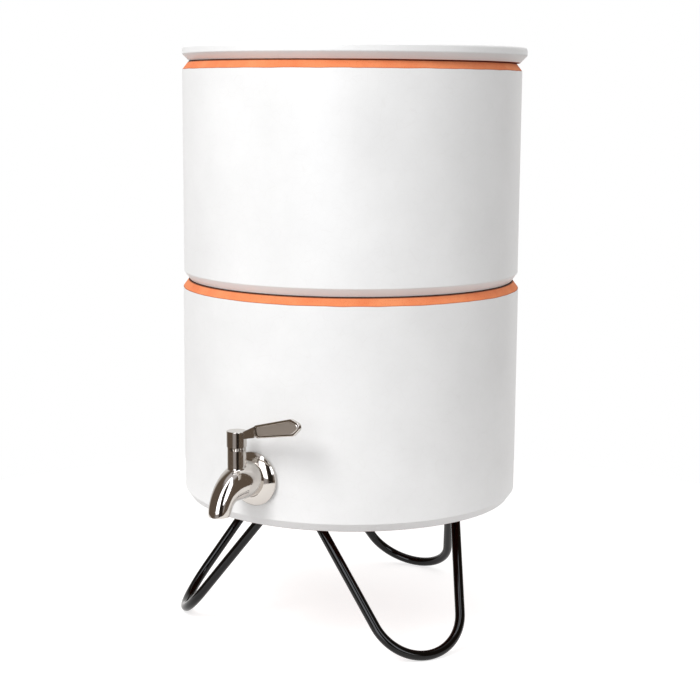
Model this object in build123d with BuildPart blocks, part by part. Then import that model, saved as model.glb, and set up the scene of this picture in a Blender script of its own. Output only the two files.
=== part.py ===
from build123d import *
from math import cos, hypot, radians, sin, tan
import os

# Gravity water filter: two stacked clay pots with a filter candle between them, a lever tap on the
# lower pot and a bent-wire stand. All sizes are in millimetres.
# Frame: the pots' axis is Z, the worktop is z = 0 and the tap points along -Y.

# Stand: a ring on three hairpin legs, all of round rod
rod_diameter = 8.0
stand_height = 107.0
foot_radius = 142.2
foot_bend_radius = 40.3
leg_lean = 36.1
leg_splay = 15.2
leg_azimuths = {"left": -56.2, "right": 58.7, "back": 185.0}
weld_gap = 0.1

# Pots: one wall and floor for both, with a glazed bevel at the base and a bare one at the rim
wall_thickness = 11.0
floor_thickness = 12.0
lower_pot_radius = 140.7
lower_pot_height = 183.8
upper_pot_radius = 140.0
upper_pot_height = 178.3
base_bevel_width = 5.0
base_bevel_height = 7.0
rim_bevel_width = 5.0
rim_bevel_height = 6.5
floor_corner_radius = 10.0
clay_edge_radius = 1.2
foot_ring_height = 6.0
foot_ring_thickness = 10.0
foot_ring_clearance = 1.2

# Lid: a thick disc, laid a little off the pots' axis as it was found
lid_radius = 142.0
lid_thickness = 12.2
lid_bevel_width = 6.0
lid_bevel_height = 6.0
lid_edge_radius = 2.0
lid_shift_x = 1.7
lid_shift_y = 1.1
lid_ring_height = 7.0
lid_ring_thickness = 9.0
lid_ring_clearance = 2.6

# Filter: a domed ceramic candle in a moulded cap, clamped through the upper pot's floor
candle_radius = 34.0
candle_height = 110.0
candle_wall = 8.0
cap_wall = 2.5
cap_floor = 4.0
cap_lip = 9.0
stem_radius = 6.0
stem_bore_radius = 3.0
stem_past_nut = 4.0
stem_hole_clearance = 0.5
filter_washer_radius = 17.0
filter_washer_thickness = 3.0
wing_nut_radius = 11.0
wing_nut_height = 10.0
wing_span = 46.0
wing_height = 17.0
wing_thickness = 4.5
wing_width = 8.0
wing_corner = 3.0

# Tap: heights from the axis of its shank, distances from the back of its flange
tap_height = 145.3
flange_radius = 21.4
flange_edge = 1.6
flange_depth = 7.0
flange_crown_radius = 13.6
flange_bulge_radius = 14.0
boss_radius = 14.8
shank_radius = 8.0
shank_hole_clearance = 0.4
shank_past_nut = 3.0
inlet_radius = 4.5
barrel_standoff = 22.2
barrel_radius = 7.3
barrel_rise = 26.6
barrel_root_radius = 1.2
spout_reach = 45.2
spout_drop = 20.3
spout_lean = 12.2
spout_pull = 15.5
horn_root_rise = 2.4
horn_root_pull = 33.9
horn_shoulder_radius = 14.5
horn_crest_radius = 13.0
horn_bend_radius = 10.7
horn_neck_radius = 9.25
outlet_radius = 8.3
outlet_bore_radius = 6.0
outlet_bore_length = 6.0

# Clamping pieces of the tap on both sides of the curved wall
outer_gasket_radius = 19.5
outer_gasket_thickness = 0.5
inner_gasket_radius = 13.0
inner_gasket_thickness = 2.4
tap_washer_radius = 13.0
tap_washer_thickness = 1.5
lock_nut_flats = 22.0
lock_nut_height = 6.0

# Valve: a plug with a cross hole, held down in the barrel by the bonnet ring
valve_bore_radius = 5.5
valve_bore_depth = 6.3
plug_clearance = 0.05
plug_end_gap = 0.3
port_radius = 3.4
o_ring_section = 1.5
o_ring_clearance = 0.02
o_ring_groove_width = 2.0
lower_o_ring_rise = 11.5
upper_o_ring_rise = 16.5
neck_radius = 3.6
drive_square = 5.0
drive_length = 8.0
bonnet_height = 3.2
bonnet_thread_length = 4.0

# Lever: hub, arm and paddle, cast in one, with a lug that stops it after a quarter turn
hub_gap = 0.3
hub_radius = 7.85
hub_height = 12.1
hub_edge_radius = 0.5
lug_angle = -5.0
lug_width_angle = 14.0
lug_length = 2.6
lug_side_gap = 0.35
stop_gap_angle = 3.0
quarter_turn = 90.0
lever_line_height = 9.5
lever_rise_angle = 12.2
arm_tip_height = 8.8
arm_slope = 27.3
arm_thickness = 4.4
paddle_thickness = 3.4
paddle_start = 18.3
paddle_shoulder = 53.6
paddle_end = 60.4
paddle_root_height = 10.0
paddle_tip_height = 13.4
paddle_nose_height = 4.4
paddle_root_corner = 2.0
paddle_nose_corner = 3.0
paddle_edge_radius = 0.7
panel_rim = 1.3
panel_depth = 0.5
set_screw_radius = 1.5
set_screw_recess = 0.4
set_screw_height = 5.0
hex_socket_flats = 1.5
hex_socket_depth = 1.6

# Levels and radii that follow from the sizes above
rod_radius = rod_diameter / 2
ring_level = stand_height - rod_radius
lower_rim = stand_height + lower_pot_height
upper_rim = lower_rim + upper_pot_height
total_height = upper_rim + lid_thickness
lower_mouth_radius = lower_pot_radius - wall_thickness
upper_mouth_radius = upper_pot_radius - wall_thickness
upper_floor = lower_rim + floor_thickness

os.makedirs("parts", exist_ok=True)


# Stand
# A hairpin's plane leans inwards, so its rods gain height and lose radius as they rise.
leg_rise = (ring_level - rod_radius) / cos(radians(leg_lean))
bend_end_reach = foot_bend_radius * cos(radians(leg_splay))
bend_end_rise = foot_bend_radius * (1 - sin(radians(leg_splay)))
leg_top_reach = bend_end_reach + (leg_rise - bend_end_rise) * tan(radians(leg_splay))
leg_top_radius = foot_radius - leg_rise * sin(radians(leg_lean))
stand_ring_radius = hypot(leg_top_radius, leg_top_reach)
# The two rods of a hairpin, drawn on, would meet this far below its foot.
leg_apex = foot_bend_radius / sin(radians(leg_splay)) - foot_bend_radius

with BuildPart() as stand_ring:
    with BuildSketch(Plane.XZ):
        with Locations((stand_ring_radius, ring_level)):
            Circle(rod_radius)
    revolve(axis=Axis.Z)
stand_ring.part.label = "stand_ring"
export_step(stand_ring.part, "parts/stand_ring.step")

with BuildPart() as weld_room:
    with BuildSketch(Plane.XZ):
        with Locations((stand_ring_radius, ring_level)):
            Circle(rod_radius + weld_gap)
    revolve(axis=Axis.Z)

for leg_name, azimuth in leg_azimuths.items():
    outward = Vector(sin(radians(azimuth)), -cos(radians(azimuth)), 0)
    along_foot = Vector(cos(radians(azimuth)), sin(radians(azimuth)), 0)
    up_the_leg = Vector(0, 0, cos(radians(leg_lean))) - outward * sin(radians(leg_lean))
    hairpin_plane = Plane(
        origin=outward * foot_radius + Vector(0, 0, rod_radius),
        x_dir=along_foot,
        z_dir=along_foot.cross(up_the_leg),
    )
    with BuildPart() as stand_leg:
        with BuildLine(hairpin_plane) as centre_line:
            FilletPolyline(
                (-leg_top_reach, leg_rise),
                (0, -leg_apex),
                (leg_top_reach, leg_rise),
                radius=foot_bend_radius,
            )
        with BuildSketch(Plane(origin=centre_line.line @ 0, z_dir=centre_line.line % 0)):
            Circle(rod_radius)
        sweep(path=centre_line.line)
        # The ends are coped to the ring, short of it by the gap that the weld fills.
        add(weld_room.part, mode=Mode.SUBTRACT)
    stand_leg.part.label = f"stand_leg_{leg_name}"
    export_step(stand_leg.part, f"parts/stand_leg_{leg_name}.step")


# Lower pot
with BuildPart() as lower_pot:
    with BuildSketch(Plane.XZ):
        with BuildLine():
            FilletPolyline(
                (0, stand_height),
                (lower_pot_radius - base_bevel_width, stand_height),
                (lower_pot_radius, stand_height + base_bevel_height),
                (lower_pot_radius, lower_rim - rim_bevel_height),
                (lower_pot_radius - rim_bevel_width, lower_rim),
                (lower_mouth_radius, lower_rim),
                (lower_mouth_radius, stand_height + floor_thickness),
                (0, stand_height + floor_thickness),
                radius=[clay_edge_radius] * 5 + [floor_corner_radius],
            )
            Line((0, stand_height + floor_thickness), (0, stand_height))
        make_face()
    revolve(axis=Axis.Z)
    with BuildSketch(Plane.XZ.offset(lower_mouth_radius - wall_thickness)):
        with Locations((0, tap_height)):
            Circle(shank_radius + shank_hole_clearance)
    extrude(amount=3 * wall_thickness, mode=Mode.SUBTRACT)
lower_pot.part.label = "lower_pot"
export_step(lower_pot.part, "parts/lower_pot.step")


# Upper pot: its foot ring drops into the mouth of the lower pot
foot_ring_radius = lower_mouth_radius - foot_ring_clearance

with BuildPart() as upper_pot:
    with BuildSketch(Plane.XZ):
        with BuildLine():
            FilletPolyline(
                (0, lower_rim),
                (foot_ring_radius - foot_ring_thickness, lower_rim),
                (foot_ring_radius - foot_ring_thickness, lower_rim - foot_ring_height),
                (foot_ring_radius, lower_rim - foot_ring_height),
                (foot_ring_radius, lower_rim),
                (upper_pot_radius - base_bevel_width, lower_rim),
                (upper_pot_radius, lower_rim + base_bevel_height),
                (upper_pot_radius, upper_rim - rim_bevel_height),
                (upper_pot_radius - rim_bevel_width, upper_rim),
                (upper_mouth_radius, upper_rim),
                (upper_mouth_radius, upper_floor),
                (0, upper_floor),
                radius=[0] + [clay_edge_radius] * 2 + [0] + [clay_edge_radius] * 5 + [floor_corner_radius],
            )
            Line((0, upper_floor), (0, lower_rim))
        make_face()
    revolve(axis=Axis.Z)
    with BuildSketch(Plane.XY.offset(lower_rim)):
        Circle(stem_radius + stem_hole_clearance)
    extrude(amount=floor_thickness, mode=Mode.SUBTRACT)
upper_pot.part.label = "upper_pot"
export_step(upper_pot.part, "parts/upper_pot.step")


# Lid: a disc with a bevelled underside and a ring that keeps it on the pot
lid_axis = Axis((lid_shift_x, lid_shift_y, 0), (0, 0, 1))
lid_section = Plane(origin=(lid_shift_x, lid_shift_y, 0), x_dir=(1, 0, 0), z_dir=(0, -1, 0))
lid_ring_radius = upper_mouth_radius - lid_ring_clearance

with BuildPart() as lid:
    with BuildSketch(lid_section):
        with BuildLine():
            FilletPolyline(
                (0, upper_rim),
                (lid_ring_radius - lid_ring_thickness, upper_rim),
                (lid_ring_radius - lid_ring_thickness, upper_rim - lid_ring_height),
                (lid_ring_radius, upper_rim - lid_ring_height),
                (lid_ring_radius, upper_rim),
                (lid_radius - lid_bevel_width, upper_rim),
                (lid_radius, upper_rim + lid_bevel_height),
                (lid_radius, total_height),
                (0, total_height),
                radius=[0] + [clay_edge_radius] * 2 + [0] + [clay_edge_radius] * 2 + [lid_edge_radius],
            )
            Line((0, total_height), (0, upper_rim))
        make_face()
    revolve(axis=lid_axis)
lid.part.label = "lid"
export_step(lid.part, "parts/lid.step")


# Filter: from the pot's floor upwards a washer, the cap and the candle, and below it washer and nut
cap_base = upper_floor + filter_washer_thickness
candle_base = cap_base + cap_floor
wing_nut_top = lower_rim - filter_washer_thickness
wing_nut_base = wing_nut_top - wing_nut_height
wing_tip = wing_nut_top - wing_height
stem_end = wing_nut_base - stem_past_nut

with BuildPart() as filter_candle:
    with BuildSketch(Plane.XZ):
        with BuildLine():
            Line((candle_radius, candle_base), (candle_radius, candle_base + candle_height - candle_radius))
            CenterArc((0, candle_base + candle_height - candle_radius), candle_radius, 0, 90)
            Line((0, candle_base + candle_height), (0, candle_base))
            Line((0, candle_base), (candle_radius, candle_base))
        make_face()
        with BuildLine():
            Line(
                (candle_radius - candle_wall, candle_base),
                (candle_radius - candle_wall, candle_base + candle_height - candle_radius),
            )
            CenterArc(
                (0, candle_base + candle_height - candle_radius), candle_radius - candle_wall, 0, 90
            )
            Line((0, candle_base + candle_height - candle_wall), (0, candle_base))
            Line((0, candle_base), (candle_radius - candle_wall, candle_base))
        make_face(mode=Mode.SUBTRACT)
    revolve(axis=Axis.Z)
filter_candle.part.label = "filter_candle"
export_step(filter_candle.part, "parts/filter_candle.step")

with BuildPart() as filter_base:
    with BuildSketch(Plane.XZ):
        with BuildLine():
            Polyline(
                (stem_bore_radius, stem_end),
                (stem_radius, stem_end),
                (stem_radius, cap_base),
                (candle_radius + cap_wall, cap_base),
                (candle_radius + cap_wall, cap_base + cap_lip),
                (candle_radius, cap_base + cap_lip),
                (candle_radius, candle_base),
                (stem_bore_radius, candle_base),
                close=True,
            )
        make_face()
    revolve(axis=Axis.Z)
    cap_rims = filter_base.edges().filter_by(
        lambda edge: edge.geom_type == GeomType.CIRCLE and abs(edge.radius - candle_radius - cap_wall) < 0.01
    )
    fillet(cap_rims, radius=cap_wall / 2)
filter_base.part.label = "filter_base"
export_step(filter_base.part, "parts/filter_base.step")

with BuildPart() as filter_upper_washer:
    with BuildSketch(Plane.XY.offset(upper_floor)):
        Circle(filter_washer_radius)
        Circle(stem_radius, mode=Mode.SUBTRACT)
    extrude(amount=filter_washer_thickness)
filter_upper_washer.part.label = "filter_upper_washer"
export_step(filter_upper_washer.part, "parts/filter_upper_washer.step")

with BuildPart() as filter_lower_washer:
    with BuildSketch(Plane.XY.offset(wing_nut_top)):
        Circle(filter_washer_radius)
        Circle(stem_radius, mode=Mode.SUBTRACT)
    extrude(amount=filter_washer_thickness)
filter_lower_washer.part.label = "filter_lower_washer"
export_step(filter_lower_washer.part, "parts/filter_lower_washer.step")

with BuildPart() as filter_wing_nut:
    with BuildSketch(Plane.XZ):
        with BuildLine():
            FilletPolyline(
                (-wing_span / 2, wing_tip),
                (wing_width - wing_span / 2, wing_tip),
                (-stem_radius, wing_nut_base),
                (stem_radius, wing_nut_base),
                (wing_span / 2 - wing_width, wing_tip),
                (wing_span / 2, wing_tip),
                (wing_span / 2, wing_tip + wing_width),
                (wing_nut_radius, wing_nut_top),
                (-wing_nut_radius, wing_nut_top),
                (-wing_span / 2, wing_tip + wing_width),
                close=True,
                radius=[wing_corner] * 2 + [0] * 2 + [wing_corner] * 3 + [0] * 2 + [wing_corner],
            )
        make_face()
    extrude(amount=wing_thickness / 2, both=True)
    with BuildSketch(Plane.XY.offset(wing_nut_base)):
        Circle(wing_nut_radius)
    extrude(amount=wing_nut_height)
    with BuildSketch(Plane.XY.offset(wing_nut_top)):
        Circle(stem_radius)
    extrude(amount=-wing_height, mode=Mode.SUBTRACT)
filter_wing_nut.part.label = "filter_wing_nut"
export_step(filter_wing_nut.part, "parts/filter_wing_nut.step")


# Tap body: flange, boss, horn, barrel and shank are one casting
# In the section plane, x is the distance from the flange's back and y the height from the shank's axis.
flange_reach = lower_pot_radius + outer_gasket_thickness
barrel_reach = flange_reach + barrel_standoff
tap_section = Plane(origin=(0, -flange_reach, tap_height), x_dir=(0, -1, 0), z_dir=(-1, 0, 0))
tap_axis = Axis((0, 0, tap_height), (0, -1, 0))

inner_wall = -outer_gasket_thickness - wall_thickness
washer_seat = inner_wall - inner_gasket_thickness
nut_seat = washer_seat - tap_washer_thickness
shank_end = nut_seat - lock_nut_height - shank_past_nut
barrel_top = tap_height + barrel_rise
valve_floor = tap_height - valve_bore_depth
outlet_reach = flange_reach + spout_reach
outlet_level = tap_height - spout_drop

with BuildPart() as tap_body:
    with BuildSketch(tap_section):
        with BuildLine():
            Line((shank_end, 0), (shank_end, shank_radius))
            Line((shank_end, shank_radius), (0, shank_radius))
            Line((0, shank_radius), (0, flange_radius))
            Line((0, flange_radius), (flange_edge, flange_radius))
            RadiusArc(
                (flange_edge, flange_radius), (flange_depth, flange_crown_radius), flange_bulge_radius
            )
            Line((flange_depth, flange_crown_radius), (flange_depth, 0))
            Line((flange_depth, 0), (shank_end, 0))
        make_face()
    revolve(axis=tap_axis)
    # The horn starts as a round boss on the flange and narrows in sections square to its centre line,
    # and its outlet is cut level.
    with BuildSketch(Plane.XZ.offset(flange_reach + flange_edge)):
        with Locations((0, tap_height)):
            Circle(boss_radius)
    horn_root = Vector(0, -flange_reach - flange_edge, tap_height + horn_root_rise)
    outlet = Vector(0, -outlet_reach, outlet_level)
    into_outlet = Vector(0, sin(radians(spout_lean)), cos(radians(spout_lean)))
    with BuildLine() as horn_line:
        Bezier(
            horn_root,
            horn_root - Vector(0, horn_root_pull, 0),
            outlet + into_outlet * spout_pull,
            outlet,
        )
    horn_sections = {
        0.24: horn_shoulder_radius,
        0.45: horn_crest_radius,
        0.63: horn_bend_radius,
        0.81: horn_neck_radius,
    }
    for fraction, radius in horn_sections.items():
        centre = horn_line.line @ fraction
        heading = horn_line.line % fraction
        with BuildSketch(Plane(origin=centre, x_dir=(1, 0, 0), z_dir=heading)):
            Circle(radius)
    with BuildSketch(Plane(origin=outlet, x_dir=(1, 0, 0), z_dir=(0, 0, -1))):
        Circle(outlet_radius)
    loft()
    with BuildSketch(Plane.XY.offset(tap_height)):
        with Locations((0, -barrel_reach)):
            Circle(barrel_radius)
    extrude(amount=barrel_rise)
    fillet(tap_body.edges(Select.NEW), radius=barrel_root_radius)
    # Water way: inlet, bore for the plug, the horn's channel and the straight outlet
    with BuildSketch(Plane.XZ.offset(flange_reach + shank_end)):
        with Locations((0, tap_height)):
            Circle(inlet_radius)
    extrude(amount=barrel_standoff - shank_end, mode=Mode.SUBTRACT)
    with BuildLine(Plane.YZ) as channel_line:
        Spline(
            (-barrel_reach, tap_height),
            (-outlet_reach, outlet_level + outlet_bore_length),
            tangents=[(-1, 0), (0, -1)],
        )
    with BuildSketch(Plane(origin=channel_line.line @ 0, x_dir=(1, 0, 0), z_dir=channel_line.line % 0)):
        Circle(port_radius)
    with BuildSketch(Plane(origin=channel_line.line @ 1, x_dir=(1, 0, 0), z_dir=channel_line.line % 1)):
        Circle(outlet_bore_radius)
    sweep(path=channel_line.line, multisection=True, mode=Mode.SUBTRACT)
    with BuildSketch(Plane.XY.offset(valve_floor)):
        with Locations((0, -barrel_reach)):
            Circle(valve_bore_radius)
    extrude(amount=barrel_rise + valve_bore_depth, mode=Mode.SUBTRACT)
    with BuildSketch(Plane.XY.offset(outlet_level)):
        with Locations((0, -outlet_reach)):
            Circle(outlet_bore_radius)
    extrude(amount=outlet_bore_length, mode=Mode.SUBTRACT)
tap_body.part.label = "tap_body"
export_step(tap_body.part, "parts/tap_body.step")


# Clamping pieces: the gaskets fill the space between flat faces and the curved wall
with BuildPart() as tap_outer_gasket:
    with BuildSketch(Plane.XZ.offset(flange_reach)):
        with Locations((0, tap_height)):
            Circle(outer_gasket_radius)
            Circle(shank_radius, mode=Mode.SUBTRACT)
    extrude(amount=-wall_thickness)
    with BuildSketch():
        Circle(lower_pot_radius)
    extrude(amount=lower_rim, mode=Mode.SUBTRACT)
tap_outer_gasket.part.label = "tap_outer_gasket"
export_step(tap_outer_gasket.part, "parts/tap_outer_gasket.step")

with BuildPart() as tap_inner_gasket:
    with BuildSketch(Plane.XZ.offset(flange_reach + washer_seat)):
        with Locations((0, tap_height)):
            Circle(inner_gasket_radius)
            Circle(shank_radius, mode=Mode.SUBTRACT)
    extrude(amount=wall_thickness)
    with BuildSketch():
        Circle(lower_mouth_radius)
    extrude(amount=lower_rim, mode=Mode.INTERSECT)
tap_inner_gasket.part.label = "tap_inner_gasket"
export_step(tap_inner_gasket.part, "parts/tap_inner_gasket.step")

with BuildPart() as tap_washer:
    with BuildSketch(Plane.XZ.offset(flange_reach + nut_seat)):
        with Locations((0, tap_height)):
            Circle(tap_washer_radius)
            Circle(shank_radius, mode=Mode.SUBTRACT)
    extrude(amount=tap_washer_thickness)
tap_washer.part.label = "tap_washer"
export_step(tap_washer.part, "parts/tap_washer.step")

with BuildPart() as tap_lock_nut:
    with BuildSketch(Plane.XZ.offset(flange_reach + nut_seat - lock_nut_height)):
        with Locations((0, tap_height)):
            RegularPolygon(lock_nut_flats / 2, 6, major_radius=False)
            Circle(shank_radius, mode=Mode.SUBTRACT)
    extrude(amount=lock_nut_height)
tap_lock_nut.part.label = "tap_lock_nut"
export_step(tap_lock_nut.part, "parts/tap_lock_nut.step")


# Valve: at rest the plug's cross hole lies across the water way, so the tap is shut
plug_radius = valve_bore_radius - plug_clearance
plug_base = valve_floor + plug_end_gap
plug_top = barrel_top - bonnet_thread_length - plug_end_gap
hub_base = barrel_top + bonnet_height + hub_gap
o_ring_centre = valve_bore_radius - o_ring_clearance - o_ring_section / 2
groove_radius = o_ring_centre - o_ring_section / 2
barrel_centre = (0, -barrel_reach)
barrel_section = Plane(origin=(0, -barrel_reach, 0), x_dir=(1, 0, 0), z_dir=(0, -1, 0))
barrel_axis = Axis((0, -barrel_reach, 0), (0, 0, 1))
o_ring_levels = {"upper": tap_height + upper_o_ring_rise, "lower": tap_height + lower_o_ring_rise}

with BuildPart() as valve_spindle:
    with BuildSketch(Plane.XY.offset(plug_base)):
        with Locations(barrel_centre):
            Circle(plug_radius)
    extrude(amount=plug_top - plug_base)
    with BuildSketch(Plane.XY.offset(plug_top)):
        with Locations(barrel_centre):
            Circle(neck_radius)
    extrude(amount=hub_base - plug_top)
    with BuildSketch(Plane.XY.offset(hub_base)):
        with Locations(barrel_centre):
            Rectangle(drive_square, drive_square)
    extrude(amount=drive_length)
    with BuildSketch(Plane.YZ):
        with Locations((-barrel_reach, tap_height)):
            Circle(port_radius)
    extrude(amount=valve_bore_radius, both=True, mode=Mode.SUBTRACT)
    with BuildSketch(barrel_section):
        for level in o_ring_levels.values():
            with Locations(((groove_radius + valve_bore_radius) / 2, level)):
                Rectangle(valve_bore_radius - groove_radius, o_ring_groove_width)
    revolve(axis=barrel_axis, mode=Mode.SUBTRACT)
valve_spindle.part.label = "valve_spindle"
export_step(valve_spindle.part, "parts/valve_spindle.step")

for ring_name, level in o_ring_levels.items():
    with BuildPart() as valve_o_ring:
        with BuildSketch(barrel_section):
            with Locations((o_ring_centre, level)):
                Circle(o_ring_section / 2)
        revolve(axis=barrel_axis)
    valve_o_ring.part.label = f"valve_{ring_name}_o_ring"
    export_step(valve_o_ring.part, f"parts/valve_{ring_name}_o_ring.step")


# Bonnet ring: screwed into the barrel, with a slot in its rim for the lever's lug
# Angles are taken at the barrel's axis, from the closed lever, which points along +X.
slot_start_angle = lug_angle - quarter_turn - lug_width_angle / 2 - stop_gap_angle
slot_angle = quarter_turn + lug_width_angle + 2 * stop_gap_angle
slot_floor = hub_base - lug_length - hub_gap

with BuildPart() as bonnet_ring:
    with BuildSketch(Plane.XY.offset(barrel_top - bonnet_thread_length)):
        with Locations(barrel_centre):
            Circle(valve_bore_radius)
    extrude(amount=bonnet_thread_length)
    with BuildSketch(Plane.XY.offset(barrel_top)):
        with Locations(barrel_centre):
            Circle(barrel_radius)
    extrude(amount=bonnet_height)
    with BuildSketch(Plane.XY.offset(barrel_top - bonnet_thread_length)):
        with Locations(barrel_centre):
            Circle(neck_radius + plug_clearance)
    extrude(amount=bonnet_thread_length + bonnet_height, mode=Mode.SUBTRACT)
    with BuildSketch(Plane.XY.offset(slot_floor)):
        with BuildLine():
            rim_arc = CenterArc(barrel_centre, 2 * barrel_radius, slot_start_angle, slot_angle)
            Line(barrel_centre, rim_arc @ 0)
            Line(rim_arc @ 1, barrel_centre)
        make_face()
    extrude(amount=bonnet_height, mode=Mode.SUBTRACT)
bonnet_ring.part.label = "bonnet_ring"
export_step(bonnet_ring.part, "parts/bonnet_ring.step")


# Lever: its paddle rises along a line that starts on the barrel's axis, and the arm's top is steeper
lever_plane = Plane(
    origin=(0, -barrel_reach, hub_base + lever_line_height), x_dir=(1, 0, 0), z_dir=(0, -1, 0)
)
paddle_direction = (cos(radians(lever_rise_angle)), 0, sin(radians(lever_rise_angle)))
paddle_plane = Plane(origin=lever_plane.origin, x_dir=paddle_direction, z_dir=(0, -1, 0))
arm_end = paddle_start * cos(radians(lever_rise_angle))
arm_end_height = paddle_start * sin(radians(lever_rise_angle))

with BuildPart() as lever_hub:
    with BuildSketch(Plane.XY.offset(hub_base)):
        with Locations(barrel_centre):
            Circle(hub_radius)
    extrude(amount=hub_height)
    fillet(lever_hub.edges().filter_by(GeomType.CIRCLE).group_by(Axis.Z)[-1], radius=hub_edge_radius)

with BuildPart() as lever_handle:
    with BuildSketch(paddle_plane) as paddle_outline:
        with BuildLine():
            FilletPolyline(
                (paddle_start, -paddle_root_height / 2),
                (paddle_shoulder, -paddle_tip_height / 2),
                (paddle_end, -paddle_nose_height / 2),
                (paddle_end, paddle_nose_height / 2),
                (paddle_shoulder, paddle_tip_height / 2),
                (paddle_start, paddle_root_height / 2),
                close=True,
                radius=[paddle_root_corner] + [paddle_nose_corner] * 4 + [paddle_root_corner],
            )
        make_face()
    extrude(amount=paddle_thickness / 2, both=True)
    fillet(lever_handle.edges().filter_by(paddle_plane), radius=paddle_edge_radius)
    for side in (1, -1):
        with BuildSketch(paddle_plane.offset(side * paddle_thickness / 2)):
            add(paddle_outline.sketch_local)
            offset(amount=-panel_rim, mode=Mode.REPLACE)
        extrude(amount=-side * panel_depth, mode=Mode.SUBTRACT)
    with BuildSketch(lever_plane):
        with BuildLine():
            Polyline(
                (0, -arm_tip_height / 2),
                (arm_end, arm_end_height - arm_tip_height / 2),
                (arm_end, arm_end_height + arm_tip_height / 2),
                (0, arm_end_height + arm_tip_height / 2 - arm_end * tan(radians(arm_slope))),
                close=True,
            )
        make_face()
    extrude(amount=arm_thickness / 2, both=True)
    add(lever_hub.part)
    with BuildSketch(Plane.XY.offset(hub_base)):
        with BuildLine():
            lug_arc = CenterArc(barrel_centre, barrel_radius, lug_angle - lug_width_angle / 2, lug_width_angle)
            Line(barrel_centre, lug_arc @ 0)
            Line(lug_arc @ 1, barrel_centre)
        make_face()
        with Locations(barrel_centre):
            Circle(neck_radius + lug_side_gap, mode=Mode.SUBTRACT)
    extrude(amount=-lug_length)
    with BuildSketch(Plane.XY.offset(hub_base)):
        with Locations(barrel_centre):
            Rectangle(drive_square, drive_square)
    extrude(amount=drive_length, mode=Mode.SUBTRACT)
    with BuildSketch(Plane.XZ.offset(barrel_reach - hub_radius)):
        with Locations((0, hub_base + set_screw_height)):
            Circle(set_screw_radius)
    extrude(amount=hub_radius, mode=Mode.SUBTRACT)
lever_handle.part.label = "lever_handle"
export_step(lever_handle.part, "parts/lever_handle.step")

with BuildPart() as lever_set_screw:
    with BuildSketch(Plane.XZ.offset(barrel_reach - hub_radius + set_screw_recess)):
        with Locations((0, hub_base + set_screw_height)):
            Circle(set_screw_radius)
    extrude(amount=hub_radius - set_screw_recess - drive_square / 2)
    with BuildSketch(Plane.XZ.offset(barrel_reach - hub_radius + set_screw_recess)):
        with Locations((0, hub_base + set_screw_height)):
            RegularPolygon(hex_socket_flats / 2, 6, major_radius=False)
    extrude(amount=hex_socket_depth, mode=Mode.SUBTRACT)
lever_set_screw.part.label = "lever_set_screw"
export_step(lever_set_screw.part, "parts/lever_set_screw.step")
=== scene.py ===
# %% [markdown]
# # A clay water filter on a bent-wire stand
# Two glazed clay pots stand on each other. Water is poured into the upper one, drips through a ceramic
# candle into the lower one, and leaves by a polished steel tap. This lesson dresses the finished
# model: it loads the solids, gives each real material its look, adds the few small things that are
# easier to grow on the model than to draw as solids, and lights and frames the whole.

# %% Load the solids
from math import cos, pi, radians, sin, tan

import bmesh
import bpy
from mathutils import Matrix, Vector


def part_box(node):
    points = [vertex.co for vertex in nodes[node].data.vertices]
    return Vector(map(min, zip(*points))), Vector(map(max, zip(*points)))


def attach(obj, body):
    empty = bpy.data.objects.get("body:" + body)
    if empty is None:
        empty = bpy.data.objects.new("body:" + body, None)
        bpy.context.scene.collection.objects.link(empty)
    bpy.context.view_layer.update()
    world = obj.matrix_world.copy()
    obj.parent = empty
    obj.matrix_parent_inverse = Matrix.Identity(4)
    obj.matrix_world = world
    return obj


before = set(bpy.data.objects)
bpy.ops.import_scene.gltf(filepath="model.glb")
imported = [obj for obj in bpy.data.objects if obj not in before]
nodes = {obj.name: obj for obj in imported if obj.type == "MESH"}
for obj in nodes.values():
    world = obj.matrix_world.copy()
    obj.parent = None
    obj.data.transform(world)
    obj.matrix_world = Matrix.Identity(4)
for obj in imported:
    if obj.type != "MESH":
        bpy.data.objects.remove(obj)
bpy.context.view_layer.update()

mm = 0.001

# %% [markdown]
# ## Colours and nodes
# A colour is easiest to pick as a hex value from a screen, but a shader calculates with linear light.
# One function turns the first into the second. Another adds a node, sets it up and links it, so that
# each material below reads like a short recipe.

# %% Colour and node helpers
def linear(hex_code, alpha=1.0):
    channels = [int(hex_code[i:i + 2], 16) / 255 for i in (1, 3, 5)]
    light = [c / 12.92 if c <= 0.04045 else ((c + 0.055) / 1.055) ** 2.4 for c in channels]
    return (*light, alpha)


def add(tree, kind, inputs=None, **settings):
    """Add a node, apply its settings, then link or set its inputs."""
    node = tree.nodes.new(kind)
    for name, value in settings.items():
        setattr(node, name, value)
    for key, value in (inputs or {}).items():
        socket = node.inputs[key]
        if isinstance(value, bpy.types.NodeSocket):
            tree.links.new(value, socket)
        else:
            socket.default_value = value
    return node


print("mid grey in linear light:", round(linear("#808080")[0], 3))

# %% [markdown]
# The recipes share a few ingredients: a sum, a noise of a given size, a step from one height to
# another, a mix of two colours, and relief. Every pattern is placed by the object's own coordinates,
# in metres, so that a grain of sand keeps its size on a large pot and on a small lid.

# %% Ingredients of the materials
def maths(tree, operation, *values):
    return add(tree, "ShaderNodeMath", dict(enumerate(values)), operation=operation).outputs[0]


def place_on(tree):
    return add(tree, "ShaderNodeTexCoord").outputs["Object"]


def noise(tree, place, width, detail, **more):
    """Soft noise with features about as wide as the given width."""
    inputs = {"Vector": place, "Scale": 1 / width, "Detail": detail, **more}
    return add(tree, "ShaderNodeTexNoise", inputs).outputs["Fac"]


def cells(tree, place, width, **settings):
    """Distance from the middle or the edge of cells of the given width."""
    inputs = {"Vector": place, "Scale": 1 / width}
    return add(tree, "ShaderNodeTexVoronoi", inputs, **settings).outputs["Distance"]


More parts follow.
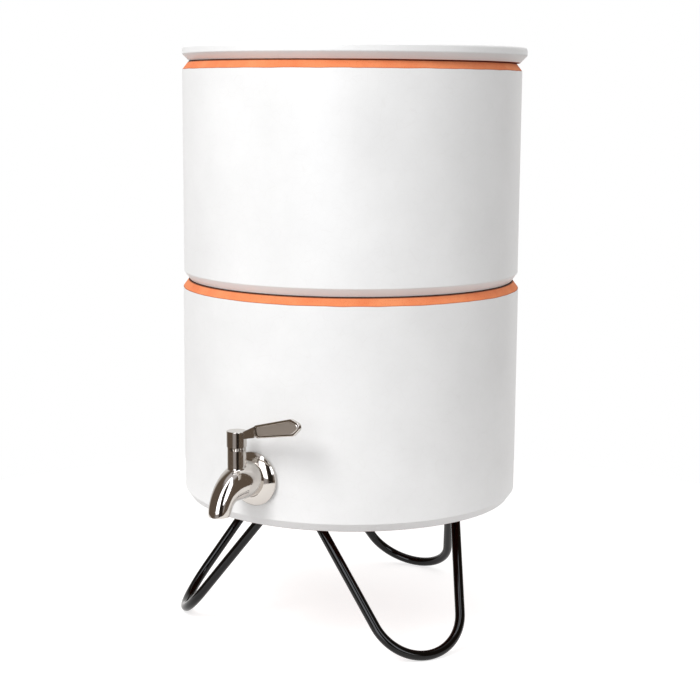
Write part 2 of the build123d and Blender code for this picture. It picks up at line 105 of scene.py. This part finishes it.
def step(tree, value, start, end, at_start=0.0, at_end=1.0, **settings):
    """Go from one number to another while the value goes from start to end."""
    return add(tree, "ShaderNodeMapRange", {
        "Value": value, "From Min": start, "From Max": end, "To Min": at_start, "To Max": at_end,
    }, **settings).outputs[0]


def mixed(tree, share, first, second, blend="MIX"):
    """Give way from the first colour to the second, as the share grows from 0 to 1."""
    inputs = {0: share, 6: first, 7: second}
    return add(tree, "ShaderNodeMix", inputs, data_type="RGBA", blend_type=blend).outputs[2]


def two_tones(tree, value, first, second, start=0.3, end=0.7):
    ramp = add(tree, "ShaderNodeValToRGB", {0: value})
    for stop, position, tone in zip(ramp.color_ramp.elements, (start, end), (first, second)):
        stop.position = position
        stop.color = linear(tone)
    return ramp.outputs[0]


def relief(tree, height, depth, strength=1.0, under=None, **settings):
    """Bump of the given depth, on top of the relief that is under it."""
    inputs = {"Height": height, "Distance": depth, "Strength": strength}
    if under is not None:
        inputs["Normal"] = under
    return add(tree, "ShaderNodeBump", inputs, **settings).outputs[0]


def new_material(name, **principled):
    material = bpy.data.materials.new(name)
    material.use_nodes = True
    shader = material.node_tree.nodes["Principled BSDF"]
    for key, value in principled.items():
        shader.inputs[key.replace("_", " ")].default_value = value
    return material, material.node_tree, shader


def dress(names, material):
    for name in names:
        nodes[name].data.materials.clear()
        nodes[name].data.materials.append(material)


print("helpers for", len(nodes), "pieces are ready")

# %% [markdown]
# ## Bare clay
# The pots and the lid are thrown from orange earthenware. It is coarse, so the eye sees sand in
# it, and its tone drifts with the heat of the kiln. Shade is painted into the clay as a darker band
# for a millimetre above the line where the glaze ends, and as dark brown painted shade where a rim
# meets the piece above it.

# %% Bare clay
def clay_colour(tree, place, height, wiped, bare_above, rim_top):
    tone = two_tones(tree, noise(tree, place, width=18 * mm, detail=3.0), "#E68253", "#EE9463")
    sand = step(tree, cells(tree, place, width=1.1 * mm), start=0.28, end=0.12)
    sandy = mixed(tree, sand, tone, linear("#E6CDBD"), "MULTIPLY")
    # Painted shade: the clay is drawn darker red for 0.8 mm above the glaze's end, where the glaze's edge
    # steps onto it.
    edge_shade_band = step(tree, wiped, bare_above, bare_above + 0.8 * mm, at_start=1.0, at_end=0.0)
    with_edge_shade = mixed(tree, edge_shade_band, sandy, linear("#A24E2C"))
    # Painted shade: the last millimetre of the rim's height, in the groove where the piece above sits, is
    # drawn dark brown.
    rim_groove_shade = step(tree, height, rim_top - 1.1 * mm, rim_top - 0.4 * mm)
    return mixed(tree, rim_groove_shade, with_edge_shade, linear("#4A2416"))


print("clay tones from", [round(c, 3) for c in linear("#E68253")[:3]])

# %% [markdown]
# ## White glaze
# The pots are dipped in a white glaze. It pools as it runs, so its tone and its shine drift over
# a few centimetres. While it cools it shrinks more than the clay and cracks into hair-thin cells,
# and gas leaves a pinhole here and there. All three are faint, and tell the eye that the white is
# glass over clay and not plastic.

# %% White glaze
def glaze_colour(tree, place, pool):
    tone = two_tones(tree, pool, "#F1F1F1", "#F8F8F8")
    to_edge = cells(tree, place, width=7 * mm, feature="DISTANCE_TO_EDGE")
    crackle = step(tree, to_edge, start=0.0, end=0.03, at_start=0.05, at_end=0.0)
    to_hole = cells(tree, place, width=9 * mm)
    pinholes = step(tree, to_hole, start=0.02, end=0.04, at_start=0.18, at_end=0.0)
    flaws = maths(tree, "MAXIMUM", crackle, pinholes)
    return mixed(tree, flaws, tone, linear("#B9AFA6"))


def pot_relief(tree, place, bare):
    """Throwing rings, the ripple of the glaze, the grain of the clay and the step at its edge."""
    drawn_round = add(tree, "ShaderNodeMapping", {"Vector": place, "Scale": (0.06, 0.06, 1.0)})
    rings = noise(tree, drawn_round.outputs[0], width=9 * mm, detail=2.0)
    ripple = noise(tree, place, width=3.5 * mm, detail=2.0)
    grain = noise(tree, place, width=0.8 * mm, detail=3.0)
    bump = relief(tree, rings, depth=0.10 * mm, strength=0.5)
    bump = relief(tree, ripple, depth=0.05 * mm, strength=0.6, under=bump)
    bump = relief(tree, grain, 0.12 * mm, maths(tree, "MULTIPLY", bare, 0.8), under=bump)
    return relief(tree, bare, depth=0.35 * mm, under=bump, invert=True)


print("glaze tones from", [round(c, 3) for c in linear("#F1F1F1")[:3]])

# %% [markdown]
# ## Where the glaze ends
# The rims are wiped clean before firing, because glaze there would weld the pots together, so the
# bare clay shows as an orange band. A picture could be wrapped round each pot, but a mask made from
# the height of a point is sharper at any distance and needs no picture. It follows the real bevel,
# and a little noise makes its edge as uneven as a sponge leaves it.

# %% Glazed earthenware
rim_bevel = 6.5 * mm
foot_gap = 0.3 * mm
beyond_the_lid = 1.0


def glazed_earthenware(name, bare_above, bare_below, rim_top):
    material, tree, shader = new_material(name, IOR=1.5)
    place = place_on(tree)
    height = add(tree, "ShaderNodeSeparateXYZ", {0: place}).outputs["Z"]

    # The sponge wanders by up to half a millimetre every few centimetres.
    sponge = noise(tree, place, width=22 * mm, detail=1.0)
    wiped = maths(tree, "ADD", height, maths(tree, "MULTIPLY_ADD", sponge, 0.9 * mm, -0.45 * mm))
    edge = 0.12 * mm
    rim = step(tree, wiped, bare_above - edge, bare_above + edge)
    foot = step(tree, height, bare_below + edge, bare_below - edge)
    bare = maths(tree, "MAXIMUM", rim, foot)

    pool = noise(tree, place, width=70 * mm, detail=4.0, Roughness=0.6)
    glaze = glaze_colour(tree, place, pool)
    clay = clay_colour(tree, place, height, wiped, bare_above, rim_top)
    shine = step(tree, pool, start=0.3, end=0.7, at_start=0.30, at_end=0.42)
    roughness = add(tree, "ShaderNodeMix", {0: bare, 2: shine, 3: 0.9}, data_type="FLOAT")
    tree.links.new(mixed(tree, bare, glaze, clay), shader.inputs["Base Color"])
    tree.links.new(roughness.outputs[0], shader.inputs["Roughness"])
    tree.links.new(pot_relief(tree, place, bare), shader.inputs["Normal"])
    return material


lower_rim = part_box("lower_pot")[1].z
upper_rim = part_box("upper_pot")[1].z
lower_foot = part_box("lower_pot")[0].z
# The upper pot's foot stands on the lower pot's rim, though its locating step hangs deeper.
for vessel, foot_level, rim_level in (
        ("lower_pot", lower_foot, lower_rim), ("upper_pot", lower_rim, upper_rim)):
    glaze_end = rim_level - rim_bevel
    dress([vessel], glazed_earthenware(f"{vessel}_glaze", glaze_end, foot_level + foot_gap, rim_level))
    print(vessel, "is bare above", round(glaze_end / mm, 1), "mm")
# The lid's top is glazed all over, so its upper limit lies beyond it.
dress(["lid"], glazed_earthenware("lid_glaze", beyond_the_lid, upper_rim + foot_gap, 2 * beyond_the_lid))

# %% [markdown]
# ## Polished stainless steel
# The tap is cast in stainless steel and polished on a wheel. Polishing leaves a mirror that isn't
# quite flat: reflections wander over it, and very fine lines follow the wheel. A metal has no colour
# of its own under its reflections, so the look is nearly all roughness and relief. The small turned
# pieces were left as the lathe made them, and are a little duller.

# %% Polished stainless steel
def polished_stainless(name, smooth, hazy, wave):
    material, tree, shader = new_material(name, Metallic=1.0, Base_Color=linear("#CFCAC4"))
    place = place_on(tree)
    haze = noise(tree, place, width=6 * mm, detail=4.0)
    tree.links.new(step(tree, haze, 0.3, 0.7, at_start=smooth, at_end=hazy), shader.inputs["Roughness"])
    casting = noise(tree, place, width=11 * mm, detail=1.5)
    drawn_along = add(tree, "ShaderNodeMapping", {"Vector": place, "Scale": (1.0, 0.12, 1.0)})
    wheel_lines = noise(tree, drawn_along.outputs[0], width=0.5 * mm, detail=2.0)
    bump = relief(tree, casting, depth=wave, strength=0.8)
    bump = relief(tree, wheel_lines, depth=0.004 * mm, strength=0.5, under=bump)
    tree.links.new(bump, shader.inputs["Normal"])
    return material


tap_steel = polished_stainless("polished_cast_stainless", smooth=0.06, hazy=0.12, wave=0.25 * mm)
turned_steel = polished_stainless("turned_stainless", smooth=0.16, hazy=0.26, wave=0.05 * mm)
lever_steel = polished_stainless("polished_lever_stainless", smooth=0.06, hazy=0.12, wave=0.12 * mm)
dress(["tap_body", "bonnet_ring"], tap_steel)
dress(["tap_washer", "tap_lock_nut", "valve_spindle", "lever_set_screw"], turned_steel)
dress(["lever_handle"], lever_steel)
print("steel finishes:", tap_steel.name, turned_steel.name, lever_steel.name)

# %% [markdown]
# ## Black enamelled rod
# The stand is bent from round steel rod and coated in black enamel, baked until it flows. Such
# a coat is black right through, with a hard shine and a faint skin like orange peel. The rods show the
# windows of the room as thin bright lines.

# %% Black enamelled rod
enamel, tree, shader = new_material(
    "black_baked_enamel", Base_Color=linear("#020202"), Roughness=0.10, Specular_IOR_Level=0.35)
orange_peel = noise(tree, place_on(tree), width=2.5 * mm, detail=2.0)
tree.links.new(relief(tree, orange_peel, depth=0.03 * mm, strength=0.6), shader.inputs["Normal"])
stand_pieces = [name for name in nodes if name.startswith("stand_")]
dress(stand_pieces, enamel)
print("enamelled pieces:", sorted(stand_pieces))

# %% [markdown]
# ## Silicone seals
# The gaskets, washers and O-rings are moulded in silicone rubber. Light goes a little way into it
# and comes out again, so it looks milky, and a bloom on its skin makes it more matte in places.

# %% Silicone seals
silicone, tree, shader = new_material(
    "milky_silicone", Base_Color=linear("#DADAD6"), IOR=1.41,
    Subsurface_Weight=0.25, Subsurface_Scale=1.5 * mm)
bloom = noise(tree, place_on(tree), width=5 * mm, detail=3.0)
tree.links.new(step(tree, bloom, 0.0, 1.0, at_start=0.4, at_end=0.6), shader.inputs["Roughness"])
seals = ["tap_outer_gasket", "tap_inner_gasket", "filter_upper_washer", "filter_lower_washer",
         "valve_upper_o_ring", "valve_lower_o_ring"]
dress(seals, silicone)
print("seals:", len(seals))

# %% [markdown]
# ## The filter inside
# The candle is fired at a low heat, so that water can pass, and looks like fine chalk: fully matte,
# with pores that are just visible. Its cap and its nut are moulded in plastic, smooth with the faint
# grain of the mould.

# %% Candle ceramic and moulded plastic
chalk, tree, shader = new_material("porous_candle_ceramic", Roughness=0.95)
pores = noise(tree, place_on(tree), width=1.2 * mm, detail=5.0)
chalk_tone = two_tones(tree, pores, "#E2DCCF", "#F0ECE2", start=0.35, end=0.65)
tree.links.new(chalk_tone, shader.inputs["Base Color"])
tree.links.new(relief(tree, pores, depth=0.15 * mm, strength=0.7), shader.inputs["Normal"])
dress(["filter_candle"], chalk)

moulding, tree, shader = new_material("moulded_white_plastic", Base_Color=linear("#E6E6E2"), IOR=1.49)
grain = noise(tree, place_on(tree), width=0.6 * mm, detail=2.0)
tree.links.new(step(tree, grain, 0.0, 1.0, at_start=0.30, at_end=0.42), shader.inputs["Roughness"])
tree.links.new(relief(tree, grain, depth=0.02 * mm, strength=0.5), shader.inputs["Normal"])
dress(["filter_base", "filter_wing_nut"], moulding)
undressed = [n for n, o in nodes.items() if not o.data.materials or not o.data.materials[0].use_nodes]
print("pieces still undressed:", undressed)

# %% [markdown]
# ## The blasted field of the paddle
# On each face of the paddle lies a satin field with rounded corners, a hair above the polished floor
# of the panel. It was masked and blasted while the rest was polished. Its edge is a narrow polished
# slope. It is drawn from its corners and their radii, so that the slope keeps an even width all
# round. The field turns with the lever, because it rides on the lever's body.

# %% The outline of the field
lever_pivot = Vector((0, -163.4, 184.9)) * mm
rise = radians(12.2)
# Each corner is given along the paddle, across it, and by its radius.
field_corners = [(20.4, -3.5, 2.2), (52.4, -5.0, 7.5), (58.6, -1.6, 2.4),
                 (58.6, 1.6, 2.4), (52.4, 5.0, 7.5), (20.4, 3.5, 2.2)]


def rounded_outline(corners, inset, steps=10):
    points = []
    for i, (u, v, radius) in enumerate(corners):
        here = Vector((u, v))
        before = (Vector(corners[i - 1][:2]) - here).normalized()
        after = (Vector(corners[(i + 1) % len(corners)][:2]) - here).normalized()
        half = before.angle(after) / 2
        centre = here + (before + after).normalized() * radius / sin(half)
        first = here + before * radius / tan(half) - centre
        turn = pi - 2 * half
        for k in range(steps + 1):
            a = turn * k / steps
            spoke = Vector((first.x * cos(a) - first.y * sin(a), first.x * sin(a) + first.y * cos(a)))
            points.append(centre + spoke * (radius - inset) / radius)
    return points


print("points of the outline:", len(rounded_outline(field_corners, 0.0)))

# %% [markdown]
# The same outline makes both fields, one on each side of the paddle. Two materials in one are told
# apart by the direction a face looks in: the flat face is blasted, and the sloped edge is polished.

# %% The two fields
# Heights are measured from the paddle's middle plane, and the seat lies inside the steel.
field_seat, field_lip, field_face, field_slope = 1.1, 1.22, 1.5, 0.45


def paddle_field(name, side, steel):
    outer, inner = rounded_outline(field_corners, 0.0), rounded_outline(field_corners, field_slope)
    points = []
    for ring, height in ((outer, field_seat), (outer, field_lip), (inner, field_face)):
        for p in ring:
            u, v = p.x * cos(rise) - p.y * sin(rise), p.x * sin(rise) + p.y * cos(rise)
            points.append(lever_pivot + Vector((u, side * height, v)) * mm)
    n = len(outer)
    faces = [tuple(range(n)), tuple(range(2 * n, 3 * n))]
    for ring_start in (0, n):
        for i in range(n):
            j = (i + 1) % n
            faces.append((ring_start + i, ring_start + j, ring_start + n + j, ring_start + n + i))
    mesh = bpy.data.meshes.new(name)
    mesh.from_pydata(points, [], faces)
    shape = bmesh.new()
    shape.from_mesh(mesh)
    bmesh.ops.recalc_face_normals(shape, faces=shape.faces)
    shape.to_mesh(mesh)
    shape.free()
    mesh.materials.append(steel)
    piece = bpy.data.objects.new(name, mesh)
    bpy.context.scene.collection.objects.link(piece)
    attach(piece, "tap_lever")
    return piece


# Blasting leaves a fine grey tooth on the flat face, and the sloped edge stays polished.
field_steel, tree, shader = new_material("blasted_and_edge_polished_stainless", Metallic=1.0)
facing = add(tree, "ShaderNodeSeparateXYZ", {0: add(tree, "ShaderNodeTexCoord").outputs["Normal"]})
flat = maths(tree, "GREATER_THAN", maths(tree, "ABSOLUTE", facing.outputs["Y"]), 0.97)
tooth = noise(tree, place_on(tree), width=0.5 * mm, detail=3.0)
satin = step(tree, tooth, 0.0, 1.0, at_start=0.42, at_end=0.56)
finish = add(tree, "ShaderNodeMix", {0: flat, 2: 0.30, 3: satin}, data_type="FLOAT")
tree.links.new(finish.outputs[0], shader.inputs["Roughness"])
tree.links.new(mixed(tree, flat, linear("#E6E1DA"), linear("#B8AFA5")), shader.inputs["Base Color"])
for name, side in (("paddle_field_front", -1), ("paddle_field_back", 1)):
    print(name, "faces:", len(paddle_field(name, side, field_steel).data.polygons))

# %% [markdown]
# ## Growing pieces from rules
# Weld beads and threads follow a rule, and Geometry Nodes suits them: what can be changed is a named
# input, and every copy follows. One function starts such a tree, and another grows its mesh, makes
# it an ordinary piece and lets it ride on the body that carries it.

# %% Start a tree and grow a piece
def node_tree(name, inputs):
    tree = bpy.data.node_groups.new(name, "GeometryNodeTree")
    tree.interface.new_socket(name="Geometry", in_out="INPUT", socket_type="NodeSocketGeometry")
    for label, kind in inputs:
        tree.interface.new_socket(name=label, in_out="INPUT", socket_type=f"NodeSocket{kind}")
    tree.interface.new_socket(name="Geometry", in_out="OUTPUT", socket_type="NodeSocketGeometry")
    return tree, add(tree, "NodeGroupInput").outputs


def grow(name, start_mesh, tree, values, body):
    piece = bpy.data.objects.new(name, start_mesh)
    bpy.context.scene.collection.objects.link(piece)
    modifier = piece.modifiers.new(name, "NODES")
    modifier.node_group = tree
    for item in tree.interface.items_tree:
        if item.in_out == "INPUT" and item.name in values:
            modifier[item.identifier] = values[item.name]
    evaluated = piece.evaluated_get(bpy.context.evaluated_depsgraph_get())
    grown = bpy.data.meshes.new_from_object(evaluated)
    piece.modifiers.clear()
    # An instance brings an empty slot along, so the one real material is set again.
    grown.materials.clear()
    grown.materials.append(values["Material"])
    grown.polygons.foreach_set("material_index", [0] * len(grown.polygons))
    piece.data = grown
    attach(piece, body)
    print(name, "faces:", len(grown.polygons))


print("ready to grow")

# %% [markdown]
# ## Weld beads under the ring
# Each hairpin meets the ring twice, and a bead of weld runs round each rod's end. A welder lays it as
# a row of small overlapping pools, so the bead is rippled. One bead is grown from a circle, a sine
# wave round the rod pushes it in and out, and the same bead is placed on all six ends.

# %% The rule of a weld bead
bead_tree, given = node_tree("weld_bead", (
    ("Rod Radius", "Float"), ("Bead Radius", "Float"), ("Ripple", "Float"), ("Pools", "Float"),
    ("Material", "Material")))
circle = add(bead_tree, "GeometryNodeCurvePrimitiveCircle", {"Resolution": 96, "Radius": given["Rod Radius"]})
profile = add(bead_tree, "GeometryNodeCurvePrimitiveCircle", {
    "Resolution": 12, "Radius": given["Bead Radius"]})
bead = add(bead_tree, "GeometryNodeCurveToMesh", {
    "Curve": circle.outputs["Curve"], "Profile Curve": profile.outputs["Curve"]})
where = add(bead_tree, "ShaderNodeSeparateXYZ", {0: add(bead_tree, "GeometryNodeInputPosition").outputs[0]})
angle = maths(bead_tree, "ARCTAN2", where.outputs["Y"], where.outputs["X"])
wave = maths(bead_tree, "SINE", maths(bead_tree, "MULTIPLY", angle, given["Pools"]))
push = add(bead_tree, "ShaderNodeVectorMath", {
    0: add(bead_tree, "GeometryNodeInputNormal").outputs[0],
    "Scale": maths(bead_tree, "MULTIPLY", wave, given["Ripple"])}, operation="SCALE")
rippled = add(bead_tree, "GeometryNodeSetPosition", {"Geometry": bead.outputs[0], "Offset": push.outputs[0]})
ends = add(bead_tree, "GeometryNodeMeshToPoints", {"Mesh": given["Geometry"]})
along = add(bead_tree, "GeometryNodeInputNamedAttribute", {"Name": "rod_direction"}, data_type="FLOAT_VECTOR")
aim = add(bead_tree, "FunctionNodeAlignRotationToVector", {"Vector": along.outputs["Attribute"]}, axis="Z")
placed = add(bead_tree, "GeometryNodeInstanceOnPoints", {
    "Points": ends.outputs[0], "Instance": rippled.outputs[0], "Rotation": aim.outputs[0]})
real = add(bead_tree, "GeometryNodeRealizeInstances", {0: placed.outputs[0]})
smooth = add(bead_tree, "GeometryNodeSetShadeSmooth", {"Geometry": real.outputs[0]})
coloured = add(bead_tree, "GeometryNodeSetMaterial", {
    "Geometry": smooth.outputs[0], "Material": given["Material"]})
add(bead_tree, "NodeGroupOutput", {0: coloured.outputs[0]})
print("nodes in the rule:", len(bead_tree.nodes))

# %% [markdown]
# The rods' ends are found from the hairpins' own sizes. Each hairpin stands on a circle, leans
# inwards, and its two legs splay from a round bend at the floor up to the ring.

# %% Six weld beads
rod_radius, foot_radius, bend_radius = 4.0, 142.2, 40.3
lean, splay, ring_level = radians(36.1), radians(15.2), 103.0
leg_azimuths = (-56.2, 58.7, 185.0)
weld_drop = 4.6
leg_rise = (ring_level - rod_radius) / cos(lean)
top_reach = bend_radius * cos(splay) + (leg_rise - bend_radius * (1 - sin(splay))) * tan(splay)
rod_ends, rod_directions = [], []
for leg_azimuth in leg_azimuths:
    a = radians(leg_azimuth)
    outward, across = Vector((sin(a), -cos(a), 0)), Vector((cos(a), sin(a), 0))
    up_leg = Vector((0, 0, cos(lean))) - outward * sin(lean)
    foot = outward * foot_radius + Vector((0, 0, rod_radius))
    for hand in (-1, 1):
        direction = across * hand * sin(splay) + up_leg * cos(splay)
        top = foot + across * hand * top_reach + up_leg * leg_rise
        rod_ends.append((top - direction * weld_drop) * mm)
        rod_directions.append(direction)
end_mesh = bpy.data.meshes.new("rod_ends")
end_mesh.from_pydata(rod_ends, [], [])
directions = end_mesh.attributes.new("rod_direction", "FLOAT_VECTOR", "POINT")
directions.data.foreach_set("vector", [c for d in rod_directions for c in d])
grow("weld_beads", end_mesh, bead_tree, {
    "Rod Radius": rod_radius * mm, "Bead Radius": 1.0 * mm, "Ripple": 0.12 * mm, "Pools": 14.0,
    "Material": enamel}, "dispenser")

# %% [markdown]
# ## Threads
# The solids keep the shank and the stem as plain cylinders. On the real pieces a thread runs along
# them and shows where it stands out past the nuts. A thread is a small ridge swept along a helix,
# so its rule needs only a radius, a pitch, a number of turns and the size of the ridge.

# %% The rule of a thread
thread_tree, given = node_tree("screw_thread", (
    ("Radius", "Float"), ("Pitch", "Float"), ("Turns", "Float"), ("Ridge", "Float"),
    ("Start", "Vector"), ("Turned", "Vector"), ("Material", "Material")))
helix = add(thread_tree, "GeometryNodeCurveSpiral", {
    "Resolution": 72, "Rotations": given["Turns"], "Start Radius": given["Radius"],
    "End Radius": given["Radius"], "Height": maths(thread_tree, "MULTIPLY", given["Pitch"], given["Turns"])})
ridge = add(thread_tree, "GeometryNodeCurvePrimitiveCircle", {"Resolution": 4, "Radius": given["Ridge"]})
thread = add(thread_tree, "GeometryNodeCurveToMesh", {
    "Curve": helix.outputs["Curve"], "Profile Curve": ridge.outputs["Curve"], "Fill Caps": True})
laid = add(thread_tree, "GeometryNodeTransform", {
    "Geometry": thread.outputs[0], "Translation": given["Start"], "Rotation": given["Turned"]})
real = add(thread_tree, "GeometryNodeRealizeInstances", {0: laid.outputs[0]})
coloured = add(thread_tree, "GeometryNodeSetMaterial", {
    "Geometry": real.outputs[0], "Material": given["Material"]})
add(thread_tree, "NodeGroupOutput", {0: coloured.outputs[0]})
print("nodes in the rule:", len(thread_tree.nodes))

# %% Two threads
thread_pitch, thread_ridge, root_inset, end_gap = 1.5, 0.45, 0.1, 0.4
shank_axis_level = 145.3


def thread_on(name, radius, turns, start, turned, material):
    grow(name, bpy.data.meshes.new(name), thread_tree, {
        "Radius": (radius - root_inset) * mm, "Pitch": thread_pitch * mm, "Turns": turns,
        "Ridge": thread_ridge * mm, "Start": start, "Turned": turned, "Material": material,
    }, "dispenser")


shank_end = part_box("tap_body")[1].y - end_gap * mm
stem_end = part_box("filter_base")[0].z + end_gap * mm
thread_on("shank_thread", 8.0, 1.6, Vector((0, shank_end, shank_axis_level * mm)), (pi / 2, 0, 0),
          turned_steel)
thread_on("stem_thread", 6.0, 2.2, Vector((0, 0, stem_end)), (0, 0, 0), moulding)

# %% [markdown]
# ## The lamp
# The filter stands in a white studio. One large soft lamp hangs high and to the left of the camera.
# It turns the pots from white to grey and draws the tap's soft shadow on the glaze. A direction in
# the studio is given as an azimuth from the tap's side, and an elevation above the horizon.

# %% The lamp
scene = bpy.context.scene
scene.view_settings.view_transform = "Standard"
camera_azimuth = 32.2


def towards(azimuth, elevation=0.0):
    a, e = radians(azimuth), radians(elevation)
    return Vector((sin(a) * cos(e), -cos(a) * cos(e), sin(e)))


tap_centre = Vector((0, -165, 160)) * mm
key_azimuth, key_elevation, key_distance = -4.0, 45.0, 1.6
key_width, key_height, key_watts = 0.5, 0.7, 13.5
key_data = bpy.data.lights.new("key_window", "AREA")
key_data.shape, key_data.size, key_data.size_y = "RECTANGLE", key_width, key_height
key_data.energy = key_watts
key = bpy.data.objects.new("key_window", key_data)
key.location = tap_centre + towards(key_azimuth, key_elevation) * key_distance
key.rotation_mode = "QUATERNION"
key.rotation_quaternion = (tap_centre - key.location).to_track_quat("-Z", "Y")
# Steel sees the painted windows of the room below in place of the lamp.
key.visible_glossy = False
scene.collection.objects.link(key)
print("lamp at", [round(c, 2) for c in key.location])

# %% [markdown]
# ## The room that steel sees
# Polished steel shows little but its surroundings, so the room is painted round it: warm brown walls
# behind the camera, pale ones behind the filter, a wide window on the left, a narrow one on the
# right, a dark curtain between them, and light ceiling. Each is a soft-edged box in azimuth and
# elevation. Real lamps and cards would do the same, with more noise and less control.

# %% Directions in the room
world = bpy.data.worlds.new("studio_room")
scene.world = world
world.use_nodes = True
tree = world.node_tree
tree.nodes.clear()
direction = add(tree, "ShaderNodeTexCoord").outputs["Generated"]
axes = add(tree, "ShaderNodeSeparateXYZ", {0: direction})
room_azimuth = maths(tree, "ARCTAN2", axes.outputs["X"], maths(tree, "MULTIPLY", axes.outputs["Y"], -1.0))
room_elevation = maths(tree, "ARCSINE", axes.outputs["Z"])


def within(tree, value, start, end, softness):
    """A number that is 1 between two angles and falls to 0 outside them."""
    edge = {"interpolation_type": "SMOOTHSTEP"}
    rising = step(tree, value, radians(start - softness), radians(start + softness), **edge)
    falling = step(tree, value, radians(end + softness), radians(end - softness), **edge)
    return maths(tree, "MULTIPLY", rising, falling)


def window(tree, azimuths, elevations, brightness, softness=1.5):
    across = within(tree, room_azimuth, *azimuths, softness)
    upright = within(tree, room_elevation, *elevations, softness)
    return maths(tree, "MULTIPLY", maths(tree, "MULTIPLY", across, upright), brightness)


print("angles are measured from the tap's side, upwards from the horizon")

# %% [markdown]
# The walls change from brown to pale round the room. The windows add their light, and the curtain
# takes light from the wall behind it. The last window in the list is the ceiling.

# %% Walls, windows and curtain
behind = add(tree, "ShaderNodeVectorMath", {
    0: direction, 1: -towards(camera_azimuth)}, operation="DOT_PRODUCT").outputs["Value"]
pale_share = step(tree, behind, start=0.50, end=0.85, interpolation_type="SMOOTHSTEP")
walls = mixed(tree, pale_share, linear("#6B5E52"), linear("#EDEBE9"))
windows = window(tree, (-2.0, 28.0), (-2.0, 95.0), brightness=4.0)
for azimuths, elevations, brightness, softness in (
        ((56.0, 78.0), (14.0, 95.0), 4.0, 2.0),
        ((66.0, 76.0), (-6.0, 14.0), 0.30, 4.0),
        ((-8.0, 28.0), (-60.0, -2.0), 0.32, 9.0),
        ((-200.0, 200.0), (66.0, 95.0), 0.55, 6.0)):
    windows = maths(tree, "ADD", windows, window(tree, azimuths, elevations, brightness, softness))
curtain = window(tree, (33.0, 62.0), (-95.0, 60.0), brightness=0.85, softness=6.0)
wall_light = add(tree, "ShaderNodeBackground", {
    "Color": walls, "Strength": maths(tree, "SUBTRACT", 1.0, curtain)})
window_light = add(tree, "ShaderNodeBackground", {"Color": linear("#F4F7FF"), "Strength": windows})
mirrored = add(tree, "ShaderNodeAddShader", {0: wall_light.outputs[0], 1: window_light.outputs[0]})
print("nodes in the room:", len(tree.nodes))

# %% [markdown]
# ## What each kind of ray sees
# A mirror sees the painted room. A matte surface gets an even white light, weaker from below, because
# a white studio lights it from all round. The camera sees white paper behind the filter. The room
# stays one world, and the kind of ray picks its part.

# %% Mirror, fill and background
upward = step(tree, axes.outputs["Z"], start=-0.25, end=0.10, at_start=0.26, at_end=0.88)
fill_light = add(tree, "ShaderNodeBackground", {"Color": linear("#FFFFFF"), "Strength": upward})
white_paper = add(tree, "ShaderNodeBackground", {"Color": linear("#FFFFFF"), "Strength": 1.0})
ray = add(tree, "ShaderNodeLightPath")
lit = add(tree, "ShaderNodeMixShader", {
    0: ray.outputs["Is Glossy Ray"], 1: fill_light.outputs[0], 2: mirrored.outputs[0]})
seen = maths(tree, "MAXIMUM", ray.outputs["Is Camera Ray"], ray.outputs["Is Transmission Ray"])
shown = add(tree, "ShaderNodeMixShader", {0: seen, 1: lit.outputs[0], 2: white_paper.outputs[0]})
add(tree, "ShaderNodeOutputWorld", {"Surface": shown.outputs[0]})
print("the camera sees white paper, and steel sees the room")

# %% [markdown]
# ## The floor
# The floor is a round sheet of white paper. It is lifted to white for the camera by a little light of
# its own, and still darkens under the filter. The sheet ends not far in front of the filter, so that
# the steel sees the dark room beyond it.

# %% The floor
floor_radius, floor_corners = 0.60, 96
shown_lift, mirrored_glow = 0.72, 0.55
turns = [2 * pi * i / floor_corners for i in range(floor_corners)]
floor_mesh = bpy.data.meshes.new("studio_floor")
floor_mesh.from_pydata(
    [(floor_radius * cos(a), floor_radius * sin(a), 0) for a in turns], [], [range(floor_corners)])
floor = bpy.data.objects.new("studio_floor", floor_mesh)
scene.collection.objects.link(floor)
paper, tree, shader = new_material(
    "white_paper", Base_Color=linear("#C2C0BF"), Roughness=0.9, Specular_IOR_Level=0.0,
    Emission_Color=linear("#FFFFFF"))
ray = add(tree, "ShaderNodeLightPath")
glow = maths(tree, "MULTIPLY", ray.outputs["Is Glossy Ray"], mirrored_glow)
lift = maths(tree, "MULTIPLY_ADD", ray.outputs["Is Camera Ray"], shown_lift, glow)
tree.links.new(lift, shader.inputs["Emission Strength"])
floor_mesh.materials.append(paper)
print("floor radius in mm:", round(floor_radius / mm))

# %% [markdown]
# ## The camera
# The camera stands where the photographer stood: a little lower than the lid, 1.3 m from the
# filter, and a third of a right angle to the right of the tap. A long lens keeps the pots' sides
# nearly straight.

# %% The camera
focal_pixels, frame_pixels, sensor = 1561.29, 700, 36.0
camera_yaw, camera_pitch, camera_roll = -0.016, 9.270, 0.370
stand_off, eye_level = 1312.6 * mm, 442.6 * mm
camera_data = bpy.data.cameras.new("photo_camera")
camera_data.sensor_width, camera_data.sensor_fit = sensor, "HORIZONTAL"
camera_data.lens = focal_pixels / frame_pixels * sensor
camera_data.clip_start, camera_data.clip_end = 0.01, 50
camera = bpy.data.objects.new("photo_camera", camera_data)
spot = towards(camera_azimuth) * stand_off + Vector((0, 0, eye_level))
yaw = Matrix.Rotation(radians(camera_azimuth - camera_yaw), 4, "Z")
pitch = Matrix.Rotation(radians(90 - camera_pitch), 4, "X")
roll = Matrix.Rotation(radians(camera_roll), 4, "Z")
camera.matrix_world = Matrix.Translation(spot) @ yaw @ pitch @ roll
scene.collection.objects.link(camera)
scene.camera = camera
print("lens in mm:", round(camera_data.lens, 2))
